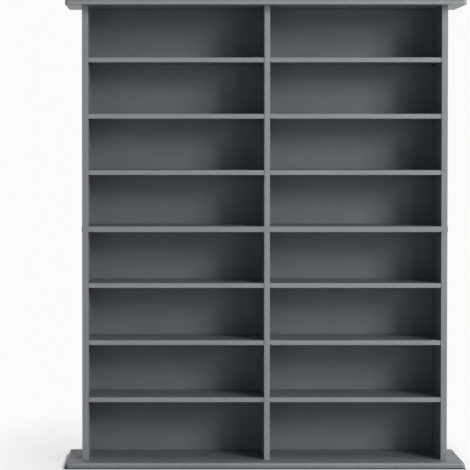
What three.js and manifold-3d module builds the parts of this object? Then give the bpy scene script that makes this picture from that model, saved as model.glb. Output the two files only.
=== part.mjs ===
// A wide, shallow storage cabinet for discs, built as flat-packed board furniture.
// A moulded base board and top board close a carcass of two stacked halves, which meet at a middle
// board. Each half has two side panels, a divider and a thin back let into rebates. Its shelves lie
// loose on steel pins, in rows of holes that let each shelf go one place up or down.
// Millimetres. X runs along the width, Y from the front to the wall, Z up. The origin lies on the
// floor, under the middle of the whole cabinet.

import * as THREE from 'three';
import { mergeVertices } from 'three/addons/utils/BufferGeometryUtils.js';
import Module from 'manifold-3d';

const wasm = await Module();
wasm.setup();

// Outer sizes
const overallWidth = 1105;
const overallDepth = 215.875;
const endOverhang = 44.5;
const frontOverhang = 47.625;

// How far the divider stands to the right of the middle. It makes the left bay the wider one.
const dividerOffset = 6.25;

// Boards. The joint gap is the hair left between two boards that butt.
const boardThickness = 15.875;
const sideThickness = 17.5;
const dividerThickness = 15.875;
const shelfThickness = 13.5;
const backThickness = 3.25;
const arrisRadius = 1.2;
const middleReveal = 1;
const jointGap = 0.05;

// Rows, as clear heights. With the boards they make the overall height, about 1295.
const shelvesInColumn = 3;
const upperRow = 143;
const lowerTopRow = 142;
const lowerRow = 146;
const lowestRow = 160.75;

// Shelf fits
const shelfSideGap = 0.5;
const shelfRearGap = 1;
const shelfSetback = 1;
const fitGap = 0.2;

// Shelf pins and their holes
const pinRadius = 2.5;
const pinReach = 8;
const pinHoleDepth = 10;
const pinChamfer = 0.6;
const frontPinInset = 37;
const rearPinInset = 32;
const holesPerPitch = 5;
const holePlaces = [-1, 0, 1];

// Rebates that take the backs
const rebateWidth = 9.5;
const backGap = 0.5;

// Dowels in the ends of the upright panels. Two of them meet end to end in the middle board.
const dowelRadius = 4;
const dowelReach = 5.5;
const dowelHoleDepth = 6;
const dowelChamfer = 0.8;
const dowelInset = 30;

// Moulded edge of the top and base boards: a quarter round over a narrow square groove, a flat band,
// and an eased lower arris. The round is set back a step from the band.
const mouldingRun = 6.5;
const topRoundDrop = 4.125;
const baseRoundDrop = 8.25;
const grooveStep = 0.6;
const grooveDepth = 1.8;
const grooveHeight = 1.25;
const lowerArris = 2.4;
const planRadius = 9;

// How finely round forms are divided, and how far a cutter runs past what it cuts
const roundSides = 12;
const mouldingSteps = 6;
const planSteps = 6;
const arrisSteps = 3;
const overrun = 2;

// Places that follow from the sizes
const rear = overallDepth / 2;
const carcassFront = frontOverhang - overallDepth / 2;
const carcassDepth = rear - carcassFront;
const innerDepth = carcassDepth - backThickness;
const rebateFace = rear - backThickness - jointGap;
const carcassWidth = overallWidth - 2 * endOverhang;
const innerHalf = carcassWidth / 2 - sideThickness;
const rebateHalf = innerHalf + rebateWidth;

const upperPitch = upperRow + shelfThickness;
const lowerPitch = lowerRow + shelfThickness;
const baseTop = boardThickness;
const lowestShelfTop = baseTop + lowestRow + shelfThickness;
const middleUnderside = lowestShelfTop + (shelvesInColumn - 1) * lowerPitch + lowerTopRow;
const middleTop = middleUnderside + boardThickness;
const topUnderside = middleTop + shelvesInColumn * upperPitch + upperRow;

const halves = [
  { name: 'upper', floor: middleTop, ceiling: topUnderside, topRow: upperRow, pitch: upperPitch },
  { name: 'lower', floor: baseTop, ceiling: middleUnderside, topRow: lowerTopRow, pitch: lowerPitch },
];
const flanks = [
  { name: 'left', outward: -1 },
  { name: 'right', outward: 1 },
];
const pinDepths = [
  { name: 'front', y: carcassFront + frontPinInset },
  { name: 'rear', y: rear - backThickness - rearPinInset },
];
const dowelDepths = [carcassFront + dowelInset, rear - backThickness - dowelInset];

// Finishes
const greyPaint = { color: '#6f7379', roughness: 0.52, metalness: 0 };
const backPaint = { color: '#6a6e74', roughness: 0.6, metalness: 0 };
const darkSteel = { color: '#4b4e53', roughness: 0.45, metalness: 1 };

// Turns a closed three.js geometry into a solid that can be joined and cut.
function solidOf(geometry) {
  const bare = geometry.clone();
  bare.deleteAttribute('normal');
  bare.deleteAttribute('uv');
  const merged = mergeVertices(bare);
  return new wasm.Manifold(new wasm.Mesh({
    numProp: 3,
    vertProperties: new Float32Array(merged.attributes.position.array),
    triVerts: new Uint32Array(merged.index.array),
  }));
}

// Turns a solid back into a geometry for a mesh.
function geometryOf(solid) {
  const mesh = solid.getMesh();
  const geometry = new THREE.BufferGeometry();
  geometry.setAttribute('position', new THREE.BufferAttribute(new Float32Array(mesh.vertProperties), 3));
  geometry.setIndex(new THREE.BufferAttribute(new Uint32Array(mesh.triVerts), 1));
  return geometry;
}

// A plain block between two corners, used for cutting.
function block(low, high) {
  const size = [high[0] - low[0], high[1] - low[1], high[2] - low[2]];
  const geometry = new THREE.BoxGeometry(...size);
  geometry.translate(low[0] + size[0] / 2, low[1] + size[1] / 2, low[2] + size[2] / 2);
  return solidOf(geometry);
}

// Turns a form that stands along Y so that it runs along X or Z, towards the plus side.
function turned(geometry, axis) {
  return axis === 'x' ? geometry.rotateZ(-Math.PI / 2) : geometry.rotateX(Math.PI / 2);
}

// A round bar with chamfered ends, from the origin along X or Z.
function bar(radius, length, chamfer, axis) {
  const profile = [
    new THREE.Vector2(0, 0),
    new THREE.Vector2(radius - chamfer, 0),
    new THREE.Vector2(radius, chamfer),
    new THREE.Vector2(radius, length - chamfer),
    new THREE.Vector2(radius - chamfer, length),
    new THREE.Vector2(0, length),
  ];
  return turned(new THREE.LatheGeometry(profile, roundSides), axis);
}

// A cutter for a round hole along an axis, from one place to another.
function hole(radius, axis, from, to) {
  const length = to.clone().sub(from).length();
  const geometry = turned(new THREE.CylinderGeometry(radius, radius, length, roundSides), axis);
  geometry.translate(...from.clone().add(to).divideScalar(2).toArray());
  return solidOf(geometry);
}

// The section of a board: depth runs from the front edge, whose two arrises are eased.
function boardSection(depth, thickness) {
  const shape = new THREE.Shape();
  shape.moveTo(depth, 0);
  shape.lineTo(depth, thickness);
  shape.lineTo(arrisRadius, thickness);
  shape.absarc(arrisRadius, thickness - arrisRadius, arrisRadius, Math.PI / 2, Math.PI, false);
  shape.lineTo(0, arrisRadius);
  shape.absarc(arrisRadius, arrisRadius, arrisRadius, Math.PI, 1.5 * Math.PI, false);
  return shape;
}

function extrudedBoard(depth, thickness, length, basis) {
  const geometry = new THREE.ExtrudeGeometry(boardSection(depth, thickness), {
    depth: length,
    bevelEnabled: false,
    curveSegments: arrisSteps,
  });
  geometry.applyMatrix4(basis);
  return geometry;
}

// A board standing between floor and ceiling of a half, its thickness about X = x, its front edge
// in the carcass front.
function uprightBoard(thickness, depth, half, x) {
  const height = half.ceiling - half.floor - 2 * jointGap;
  const basis = new THREE.Matrix4().makeBasis(
    new THREE.Vector3(0, 1, 0),
    new THREE.Vector3(-1, 0, 0),
    new THREE.Vector3(0, 0, 1),
  );
  const geometry = extrudedBoard(depth, thickness, height, basis);
  geometry.translate(x + thickness / 2, carcassFront, half.floor + jointGap);
  return geometry;
}

// A board lying flat: length about X = x, front edge at Y = front, underside at Z = underside.
function flatBoard(length, depth, thickness, x, front, underside) {
  const basis = new THREE.Matrix4().makeBasis(
    new THREE.Vector3(0, 1, 0),
    new THREE.Vector3(0, 0, 1),
    new THREE.Vector3(1, 0, 0),
  );
  const geometry = extrudedBoard(depth, thickness, length, basis);
  geometry.translate(x - length / 2, front, underside);
  return geometry;
}

// The moulding as pairs of inset and height, from the top face down to the underside.
function mouldingSection(roundDrop) {
  const reach = mouldingRun + grooveStep;
  const section = [];
  for (let step = 0; step <= mouldingSteps; step += 1) {
    const angle = (step / mouldingSteps) * Math.PI / 2;
    section.push({
      inset: reach - mouldingRun * Math.sin(angle),
      z: boardThickness - roundDrop * (1 - Math.cos(angle)),
    });
  }
  section.push({ inset: grooveStep + grooveDepth, z: boardThickness - roundDrop });
  section.push({ inset: grooveStep + grooveDepth, z: boardThickness - roundDrop - grooveHeight });
  section.push({ inset: 0, z: boardThickness - roundDrop - grooveHeight });
  for (let step = 0; step <= arrisSteps; step += 1) {
    const angle = (step / arrisSteps) * Math.PI / 2;
    section.push({
      inset: lowerArris * (1 - Math.cos(angle)),
      z: lowerArris * (1 - Math.sin(angle)),
    });
  }
  return section;
}

// The outline of a moulded board in plan, at one inset, seen from above and anticlockwise. The
// rear edge is square and has no moulding.
function mouldedOutline(inset) {
  const half = overallWidth / 2 - inset;
  const front = -overallDepth / 2 + inset;
  const radius = planRadius - inset;
  const points = [[half, rear], [-half, rear]];
  for (const flank of flanks) {
    for (let step = 0; step <= planSteps; step += 1) {
      const turn = (step / planSteps) * Math.PI / 2;
      const angle = flank.outward < 0 ? Math.PI + turn : 1.5 * Math.PI + turn;
      const centre = flank.outward * (half - radius);
      points.push([centre + radius * Math.cos(angle), front + radius + radius * Math.sin(angle)]);
    }
  }
  return points;
}

// A board whose front and ends are moulded: outlines at each level of the section, skinned over.
function mouldedBoard(roundDrop) {
  const section = mouldingSection(roundDrop);
  const positions = [];
  for (const level of section) {
    for (const [x, y] of mouldedOutline(level.inset)) {
      positions.push(x, y, level.z);
    }
  }
  const around = positions.length / 3 / section.length;
  const index = [];
  for (let ring = 0; ring + 1 < section.length; ring += 1) {
    for (let place = 0; place < around; place += 1) {
      const next = (place + 1) % around;
      const above = ring * around;
      const below = above + around;
      index.push(above + place, below + place, below + next);
      index.push(above + place, below + next, above + next);
    }
  }
  const lowest = (section.length - 1) * around;
  for (let place = 1; place + 1 < around; place += 1) {
    index.push(0, place, place + 1);
    index.push(lowest, lowest + place + 1, lowest + place);
  }
  const geometry = new THREE.BufferGeometry();
  geometry.setAttribute('position', new THREE.Float32BufferAttribute(positions, 3));
  geometry.setIndex(index);
  return geometry;
}

// Cuts the blind holes that the dowels of all upright panels plug into, down or up from one face.
function cutDowelHoles(solid, face, inward) {
  let result = solid;
  const panelCentre = carcassWidth / 2 - sideThickness / 2;
  for (const x of [-panelCentre, dividerOffset, panelCentre]) {
    for (const y of dowelDepths) {
      const mouth = new THREE.Vector3(x, y, face - inward * overrun);
      const bottom = new THREE.Vector3(x, y, face + inward * dowelHoleDepth);
      result = result.subtract(hole(dowelRadius + fitGap, 'z', mouth, bottom));
    }
  }
  return result;
}

// The top board, on its place above the carcass.
function topBoard() {
  const geometry = mouldedBoard(topRoundDrop);
  geometry.translate(0, 0, topUnderside);
  const rebate = block(
    [-rebateHalf, rebateFace, topUnderside - overrun],
    [rebateHalf, rear + overrun, topUnderside + rebateWidth],
  );
  return geometryOf(cutDowelHoles(solidOf(geometry).subtract(rebate), topUnderside, 1));
}

// The base board, flat on the floor.
function baseBoard() {
  const rebate = block(
    [-rebateHalf, rebateFace, baseTop - rebateWidth],
    [rebateHalf, rear + overrun, baseTop + overrun],
  );
  return geometryOf(cutDowelHoles(solidOf(mouldedBoard(baseRoundDrop)).subtract(rebate), baseTop, -1));
}

// The middle board runs through between the halves and stands a little proud of them.
function middleBoard() {
  const front = carcassFront - middleReveal;
  const board = flatBoard(
    carcassWidth + 2 * middleReveal,
    carcassDepth + middleReveal,
    boardThickness,
    0,
    front,
    middleUnderside,
  );
  const notch = block(
    [-rebateHalf, rebateFace, middleUnderside - overrun],
    [rebateHalf, rear + overrun, middleTop + overrun],
  );
  const drilledAbove = cutDowelHoles(solidOf(board).subtract(notch), middleTop, -1);
  return geometryOf(cutDowelHoles(drilledAbove, middleUnderside, 1));
}

// Height of the underside of each shelf in a half, from the top down.
function shelfUndersides(half) {
  const undersides = [];
  for (let row = 0; row < shelvesInColumn; row += 1) {
    undersides.push(half.ceiling - half.topRow - shelfThickness - row * half.pitch);
  }
  return undersides;
}

// Height of the pins' axis under a shelf.
function pinHeight(underside) {
  return underside - fitGap - pinRadius;
}

// Cuts the rows of pin holes of one upright panel, along X from one place to another.
function cutPinHoles(solid, half, fromX, toX) {
  let result = solid;
  const holePitch = half.pitch / holesPerPitch;
  for (const underside of shelfUndersides(half)) {
    for (const place of holePlaces) {
      const z = pinHeight(underside) + place * holePitch;
      for (const depth of pinDepths) {
        const from = new THREE.Vector3(fromX, depth.y, z);
        const to = new THREE.Vector3(toX, depth.y, z);
        result = result.subtract(hole(pinRadius + fitGap, 'x', from, to));
      }
    }
  }
  return result;
}

// Adds the glued dowels that stand out of both ends of an upright panel.
function addDowels(solid, half, x) {
  let result = solid;
  for (const low of [half.floor - dowelReach, half.ceiling - overrun]) {
    for (const y of dowelDepths) {
      const dowel = bar(dowelRadius, dowelReach + overrun, dowelChamfer, 'z');
      dowel.translate(x, y, low);
      result = result.add(solidOf(dowel));
    }
  }
  return result;
}

// A side panel: rebated for the back, drilled on its inner face, with dowels in its ends.
function sidePanel(half, flank) {
  const x = flank.outward * (carcassWidth / 2 - sideThickness / 2);
  const panel = solidOf(uprightBoard(sideThickness, carcassDepth, half, x));
  const rebateEnds = [flank.outward * (innerHalf - overrun), flank.outward * rebateHalf];
  const rebate = block(
    [Math.min(...rebateEnds), rebateFace, half.floor - overrun],
    [Math.max(...rebateEnds), rear + overrun, half.ceiling + overrun],
  );
  const mouth = flank.outward * (innerHalf - overrun);
  const bottom = flank.outward * (innerHalf + pinHoleDepth);
  const drilled = cutPinHoles(panel.subtract(rebate), half, mouth, bottom);
  return geometryOf(addDowels(drilled, half, x));
}

// A divider: as deep as the inside, drilled right through, with dowels in its ends.
function divider(half) {
  const panel = solidOf(uprightBoard(dividerThickness, innerDepth - jointGap, half, dividerOffset));
  const reach = dividerThickness / 2 + overrun;
  const drilled = cutPinHoles(panel, half, dividerOffset - reach, dividerOffset + reach);
  return geometryOf(addDowels(drilled, half, dividerOffset));
}

// A back panel: it laps the rebates of the sides and of the board at its far end, and meets the
// other back behind the middle board.
function backPanel(half) {
  const meeting = middleUnderside + boardThickness / 2;
  const isUpper = half.floor === middleTop;
  const low = isUpper ? meeting + backGap / 2 : half.floor - rebateWidth + backGap;
  const high = isUpper ? half.ceiling + rebateWidth - backGap : meeting - backGap / 2;
  const geometry = new THREE.BoxGeometry(2 * (rebateHalf - backGap), backThickness, high - low);
  geometry.translate(0, rear - backThickness / 2, (low + high) / 2);
  return geometry;
}

// One shelf, loose in its bay.
function shelf(flank, underside) {
  const sideFace = flank.outward * innerHalf;
  const dividerFace = dividerOffset + flank.outward * dividerThickness / 2;
  return flatBoard(
    Math.abs(sideFace - dividerFace) - 2 * shelfSideGap,
    innerDepth - shelfSetback - shelfRearGap,
    shelfThickness,
    (sideFace + dividerFace) / 2,
    carcassFront + shelfSetback,
    underside,
  );
}

// A pin in the blind hole of a side panel.
function sidePin(flank, y, underside) {
  const length = pinReach + pinHoleDepth - fitGap;
  const pin = bar(pinRadius, length, pinChamfer, 'x');
  const start = flank.outward < 0 ? -innerHalf - pinHoleDepth + fitGap : innerHalf - pinReach;
  pin.translate(start, y, pinHeight(underside));
  return pin;
}

// A long pin through a divider, which carries a shelf on each side.
function dividerPin(y, underside) {
  const length = dividerThickness + 2 * pinReach;
  const pin = bar(pinRadius, length, pinChamfer, 'x');
  pin.translate(dividerOffset - length / 2, y, pinHeight(underside));
  return pin;
}

const cabinet = new THREE.Group();

function place(parent, name, geometry, finish) {
  const bare = geometry.index ? geometry.clone() : mergeVertices(geometry);
  bare.computeVertexNormals();
  const mesh = new THREE.Mesh(bare, new THREE.MeshStandardMaterial(finish));
  mesh.name = name;
  parent.add(mesh);
}

place(cabinet, 'base_board', baseBoard(), greyPaint);
place(cabinet, 'middle_board', middleBoard(), greyPaint);
place(cabinet, 'top_board', topBoard(), greyPaint);

for (const half of halves) {
  const section = new THREE.Group();
  cabinet.add(section);
  place(section, `${half.name}_divider`, divider(half), greyPaint);
  place(section, `${half.name}_back`, backPanel(half), backPaint);
  const undersides = shelfUndersides(half);
  for (const flank of flanks) {
    place(section, `${half.name}_${flank.name}_side`, sidePanel(half, flank), greyPaint);
    undersides.forEach((underside, row) => {
      const shelfName = `${half.name}_${flank.name}_shelf_${row + 1}`;
      place(section, shelfName, shelf(flank, underside), greyPaint);
      for (const depth of pinDepths) {
        const pinName = `${half.name}_${flank.name}_pin_${row + 1}_${depth.name}`;
        place(section, pinName, sidePin(flank, depth.y, underside), darkSteel);
      }
    });
  }
  undersides.forEach((underside, row) => {
    for (const depth of pinDepths) {
      const pinName = `${half.name}_divider_pin_${row + 1}_${depth.name}`;
      place(section, pinName, dividerPin(depth.y, underside), darkSteel);
    }
  });
}

export default cabinet;
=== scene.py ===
# %% [markdown]
# # A storage cabinet for discs
# The cabinet is board furniture with two stacked halves. Each half has two side panels, a divider,
# a thin back and six loose shelves on steel pins. A moulded board closes it above and below.
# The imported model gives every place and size. It is loaded first, so that each piece made here
# starts from the box of the part that it stands for.

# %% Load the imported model
import math

import bmesh
import bpy
from mathutils import Matrix, Vector


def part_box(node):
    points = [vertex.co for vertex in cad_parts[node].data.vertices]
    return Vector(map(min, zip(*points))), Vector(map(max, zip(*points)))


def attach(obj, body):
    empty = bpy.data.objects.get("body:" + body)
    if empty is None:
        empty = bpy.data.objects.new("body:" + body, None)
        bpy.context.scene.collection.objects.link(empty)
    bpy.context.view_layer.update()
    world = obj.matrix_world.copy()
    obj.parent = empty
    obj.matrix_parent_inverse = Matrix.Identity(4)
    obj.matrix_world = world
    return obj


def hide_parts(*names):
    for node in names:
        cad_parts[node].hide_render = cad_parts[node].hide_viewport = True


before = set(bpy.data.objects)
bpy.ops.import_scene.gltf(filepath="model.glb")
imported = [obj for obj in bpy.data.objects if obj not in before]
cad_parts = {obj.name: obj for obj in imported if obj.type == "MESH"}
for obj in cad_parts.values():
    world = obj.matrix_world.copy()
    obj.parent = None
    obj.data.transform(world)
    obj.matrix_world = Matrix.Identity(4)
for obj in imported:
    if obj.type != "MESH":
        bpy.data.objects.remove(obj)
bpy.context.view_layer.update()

# %% [markdown]
# ## Where the photographer stood
# The cabinet is seen almost square on, through a long lens, from a little left of its middle and a
# little above that. A shifted lens keeps the uprights parallel while the cabinet fills the frame. The
# camera comes first, because it decides how fine each detail has to be.

# %% Camera
camera_data = bpy.data.cameras.new("photo_camera")
camera_data.sensor_width = 36
camera_data.lens = 137.14
camera_data.shift_x = 0.1386
camera_data.shift_y = -0.1296
camera = bpy.data.objects.new("photo_camera", camera_data)
camera.location = (-0.264, -5.033, 0.925)
camera.rotation_euler = (math.radians(90 - 1.294), 0, 0)
bpy.context.scene.collection.objects.link(camera)
bpy.context.scene.camera = camera
bpy.context.scene.view_settings.view_transform = "Standard"
print("lens", camera_data.lens, "mm at", round(camera.location.length, 2), "m from the cabinet's foot")

# %% [markdown]
# ## The places that everything hangs on
# The boards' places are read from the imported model, so nothing made here can drift away from it.
# What a box can't tell, such as how far an edge is eased or how loose a dowel fits, is written down
# where it is first needed. The gap keeps fixed pieces a hair's breadth apart. Lengths are in metres.

# %% Places
GAP = 0.00005

top_low, top_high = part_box("top_board")
middle_low, middle_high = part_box("middle_board")
base_low, base_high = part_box("base_board")
back_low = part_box("upper_back")[0]
divider_low, divider_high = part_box("upper_divider")
divider_line = (divider_low.x + divider_high.x) / 2
carcass_front = divider_low.y
rear = top_high.y
rebate_face = back_low.y - GAP
board = base_high.z - base_low.z
floors = {"upper": middle_high.z, "lower": base_high.z}
ceilings = {"upper": top_low.z, "lower": middle_low.z}
carcass_depth = rear - carcass_front
print("boards", round(board * 1000, 2), "mm thick, carcass", round(carcass_depth * 1000, 1), "mm deep")

# %% [markdown]
# ## Starting from a block
# Each board starts as a block at its real size and place, as a maker cuts a blank. The place is then
# applied, so that it lies in the mesh and the object itself stays at the origin.

# %% Block tools
def deselect_all():
    if bpy.context.object and bpy.context.object.mode != "OBJECT":
        bpy.ops.object.mode_set(mode="OBJECT")
    bpy.ops.object.select_all(action="DESELECT")


def work_on(piece):
    deselect_all()
    piece.select_set(True)
    bpy.context.view_layer.objects.active = piece


def name_piece(name):
    piece = bpy.context.object
    bpy.ops.object.transform_apply(location=True, rotation=True, scale=True)
    piece.name = name
    piece.data.name = name
    return piece


def block(name, low, high):
    deselect_all()
    low = Vector(low)
    high = Vector(high)
    bpy.ops.mesh.primitive_cube_add(size=1, location=(low + high) / 2, scale=high - low)
    return name_piece(name)


print("blocks can be made")

# %% [markdown]
# ## Picking edges and faces
# An edit mode operator acts on what is selected. By hand one clicks an edge. Here edges and faces are
# picked by where they are, as a maker marks an edge before planing it. A rounded edge is a bevel.

# %% Picking tools
X_AXIS = 0
Y_AXIS = 1
Z_AXIS = 2
TOLERANCE = 0.00001
FACING = 0.9
SIDEWAYS = 0.1


def choose(piece, kind, wanted):
    """Goes into edit mode with the wanted edges or faces selected."""
    work_on(piece)
    bpy.ops.object.mode_set(mode="EDIT")
    bpy.ops.mesh.select_mode(type=kind)
    bpy.ops.mesh.select_all(action="DESELECT")
    shape = bmesh.from_edit_mesh(piece.data)
    for item in shape.edges if kind == "EDGE" else shape.faces:
        if wanted(item):
            item.select_set(True)
    bmesh.update_edit_mesh(piece.data)


def near(a, b):
    return abs(a - b) < TOLERANCE


def ends_at(edge, axis, place):
    return all(near(vertex.co[axis], place) for vertex in edge.verts)


def level_along(edge, axis):
    """True when both ends of the edge have the same place along the axis."""
    return near(edge.verts[0].co[axis], edge.verts[1].co[axis])


def round_edges(piece, wanted, radius, segments):
    choose(piece, "EDGE", wanted)
    bpy.ops.mesh.bevel(offset=radius, segments=segments, profile=0.5, affect="EDGES", clamp_overlap=False)
    bpy.ops.object.mode_set(mode="OBJECT")


def split(piece, place, direction, **settings):
    """Cuts the whole piece along a plane. The settings say whether one side of it goes."""
    work_on(piece)
    bpy.ops.object.mode_set(mode="EDIT")
    bpy.ops.mesh.select_all(action="SELECT")
    bpy.ops.mesh.bisect(plane_co=place, plane_no=direction, **settings)
    bpy.ops.object.mode_set(mode="OBJECT")


print("edges can be picked and rounded")

# %% [markdown]
# ## Cutting, copying and fitting
# Holes are cut with a Boolean modifier that is applied at once. What repeats is made once and copied,
# each copy with its own mesh. Last, a piece gets its material and its body, and the part that it
# stands for is hidden.

# %% Cutting and fitting tools
def cut_away(piece, cutters):
    """Takes the cutters out of the piece. The new faces keep the cutters' material."""
    deselect_all()
    for cutter in cutters:
        cutter.select_set(True)
    bpy.context.view_layer.objects.active = cutters[0]
    if len(cutters) > 1:
        bpy.ops.object.join()
    tool = cutters[0]
    work_on(piece)
    bpy.ops.object.modifier_add(type="BOOLEAN")
    cut = piece.modifiers[-1]
    cut.operation = "DIFFERENCE"
    cut.solver = "EXACT"
    cut.material_mode = "TRANSFER"
    cut.object = tool
    bpy.ops.object.modifier_apply(modifier=cut.name)
    bpy.data.objects.remove(tool)


def shade(piece, degrees):
    """Shades smooth over every edge that turns less than the angle."""
    work_on(piece)
    bpy.ops.object.shade_smooth_by_angle(angle=math.radians(degrees))


def smooth_rounds(piece):
    """Rounds look round and flats stay flat: smooth shading, then normals that follow the big faces."""
    shade(piece, 32)
    bpy.ops.object.modifier_add(type="WEIGHTED_NORMAL")
    piece.modifiers[-1].keep_sharp = True
    bpy.ops.object.modifier_apply(modifier=piece.modifiers[-1].name)


def copy_to(piece, name, move):
    copy = piece.copy()
    copy.data = piece.data.copy()
    copy.data.transform(Matrix.Translation(move))
    copy.name = name
    copy.data.name = name
    bpy.context.scene.collection.objects.link(copy)
    return copy


def fit(piece, material, body="carcass", stands_for=None):
    """Gives a finished piece its material and the body that it moves with, and hides the part it stands for.
    """
    if not piece.data.materials:
        piece.data.materials.append(material)
    piece.data.materials[0] = material
    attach(piece, body)
    if stands_for:
        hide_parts(stands_for)


print("cutting and fitting tools are ready")

# %% [markdown]
# ## Building materials out of nodes
# A shader group is like a stencil: made once, then used in each finish with its own values. The
# groups here only give colours, masks and heights. The shader itself stays in the material.

# %% Node tools
def feed(socket, value):
    """Links a socket to the one that gives its value, or writes a plain number or colour into it."""
    if isinstance(value, bpy.types.NodeSocket):
        socket.id_data.links.new(value, socket)
    else:
        socket.default_value = value


def node(tree, kind, *feeds, **values):
    """Adds a node. The feeds fill its inputs in order, and the values go to inputs or settings by name."""
    made = tree.nodes.new(kind)
    for name, value in values.items():
        label = name.replace("_", " ")
        if label in made.inputs:
            feed(made.inputs[label], value)
        else:
            setattr(made, name, value)
    for index, value in enumerate(feeds):
        feed(made.inputs[index], value)
    return made


def figure(tree, operation, *feeds, **settings):
    """One sum, product or comparison of numbers."""
    return node(tree, "ShaderNodeMath", *feeds, operation=operation, **settings).outputs[0]


def ranged(tree, source, from_low, from_high, to_low=0.0, to_high=1.0, **settings):
    """Stretches one range of values onto another, and holds what lies outside at its ends."""
    made = node(tree, "ShaderNodeMapRange", Value=source, From_Min=from_low, From_Max=from_high, **settings)
    feed(made.inputs["To Min"], to_low)
    feed(made.inputs["To Max"], to_high)
    return made.outputs[0]


print("node tools are ready")

# %% [markdown]
# ## The words that the finishes use
# A pattern needs a place to start from, a direction to react to, and some noise. Each helper adds one
# node of that kind and returns its result, so that a finish reads like a recipe. All places are
# places on the piece itself, so a pattern stays put when a shelf is drawn out.

# %% Pattern tools
def place_on_piece(tree):
    return node(tree, "ShaderNodeTexCoord").outputs["Object"]


def facing(tree, kind="True Normal"):
    return node(tree, "ShaderNodeNewGeometry").outputs[kind]


def axes_of(tree, vector):
    return node(tree, "ShaderNodeSeparateXYZ", vector).outputs


def noise(tree, vector, **values):
    return node(tree, "ShaderNodeTexNoise", Vector=vector, **values).outputs["Fac"]


def ramp(tree, source, *stops):
    """A colour ramp. Each stop is a place and a colour, and the first two are the ramp's own ends."""
    made = node(tree, "ShaderNodeValToRGB", source)
    elements = made.color_ramp.elements
    for index, (along, colour) in enumerate(stops):
        stop = elements[index] if index < 2 else elements.new(along)
        stop.position = along
        stop.color = (*colour, 1)
    return made.outputs["Color"]


print("pattern tools are ready")

# %% [markdown]
# ## Mixing, and packing into groups
# A mask mixes two colours, and noise becomes a small drift about a middle value. What more than one
# finish uses is packed into a group with named sockets.

# %% Mixing and grouping tools
def mixed(tree, share, first, second, data_type="RGBA", **settings):
    """The first value or colour where the share is 0, and the second where it is 1."""
    made = node(tree, "ShaderNodeMix", data_type=data_type, Factor=share, A=first, B=second, **settings)
    return made.outputs["Result"]


def tinted(tree, colour, brightness):
    made = node(tree, "ShaderNodeHueSaturation", Value=brightness, Color=colour)
    return made.outputs["Color"]


def spread_about(tree, source, middle, spread):
    """Turns noise from about 0.3 to 0.7 into values from middle - spread to middle + spread."""
    low = figure(tree, "SUBTRACT", middle, spread)
    high = figure(tree, "ADD", middle, spread)
    return ranged(tree, source, 0.3, 0.7, low, high)


def socket_kind(label):
    return "NodeSocketColor" if label == "Colour" else "NodeSocketFloat"


def group(name, inputs, outputs):
    """Starts a shader group, and returns it with the sockets that bring values in and take them out."""
    tree = bpy.data.node_groups.new(name, "ShaderNodeTree")
    for label, value in inputs.items():
        socket = tree.interface.new_socket(name=label, in_out="INPUT", socket_type=socket_kind(label))
        socket.default_value = value
    for label in outputs:
        tree.interface.new_socket(name=label, in_out="OUTPUT", socket_type=socket_kind(label))
    return tree, tree.nodes.new("NodeGroupInput").outputs, tree.nodes.new("NodeGroupOutput").inputs


print("mixing and grouping tools are ready")

# %% [markdown]
# ## Sprayed satin paint
# The boards carry a slate grey paint with a soft sheen. Sprayed paint is never quite even: its tone
# drifts over a hand's width, its sheen drifts faster, and its skin has a fine orange peel. One
# group makes all three, so every painted board is speckled alike.

# %% Paint film group
film_values = {
    "Colour": (0.2, 0.22, 0.24, 1),
    "Drift": 0.05,
    "Patch Scale": 6.0,
    "Roughness": 0.45,
    "Sheen Drift": 0.05,
    "Peel Scale": 420.0,
}
paint_film, film_in, film_out = group("paint_film", film_values, ["Colour", "Roughness", "Height"])
place = place_on_piece(paint_film)
patches = noise(paint_film, place, Scale=film_in["Patch Scale"], Detail=4.0, Roughness=0.55)
tone = spread_about(paint_film, patches, 1.0, film_in["Drift"])
feed(film_out["Colour"], tinted(paint_film, film_in["Colour"], tone))
sheen = noise(paint_film, place, Scale=23.0, Detail=3.0)
gloss = spread_about(paint_film, sheen, film_in["Roughness"], film_in["Sheen Drift"])
feed(film_out["Roughness"], gloss)
peel = noise(paint_film, place, Scale=film_in["Peel Scale"], Detail=2.0, Roughness=0.6)
feed(film_out["Height"], peel)
print("paint film:", len(paint_film.nodes), "nodes")

# %% [markdown]
# ## Worn and highlighted arrises
# Hands and cloths wear an edge before a face, and a rounded edge catches the light, so the arrises are
# lighter: partly wear and partly a painted highlight. A face that is square to the cabinet is flat board,
# and a face that is not is a rounded edge, so the direction of the surface itself finds the edges.
# Noise then breaks the lighter arrises into short patches.

# %% Worn and highlighted arris group
arris_wear_and_highlight, wear_highlight_in, wear_highlight_out = group("arris_wear_and_highlight", {"Amount": 0.3, "Patch Scale": 40.0}, ["Mask"])
unsigned = node(arris_wear_and_highlight, "ShaderNodeVectorMath", facing(arris_wear_and_highlight), operation="ABSOLUTE").outputs[0]
parts = axes_of(arris_wear_and_highlight, unsigned)
wider = figure(arris_wear_and_highlight, "MAXIMUM", parts["X"], parts["Y"])
widest = figure(arris_wear_and_highlight, "MAXIMUM", wider, parts["Z"])
rounded = ranged(arris_wear_and_highlight, widest, 0.999, 0.97)
rub_place = place_on_piece(arris_wear_and_highlight)
broken = noise(arris_wear_and_highlight, rub_place, Scale=wear_highlight_in["Patch Scale"], Detail=5.0, Roughness=0.7)
patchy = ranged(arris_wear_and_highlight, broken, 0.35, 0.65)
both = figure(arris_wear_and_highlight, "MULTIPLY", rounded, patchy)
feed(wear_highlight_out["Mask"], figure(arris_wear_and_highlight, "MULTIPLY", both, wear_highlight_in["Amount"]))
print("rubbed arris:", len(arris_wear_and_highlight.nodes), "nodes")
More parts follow.
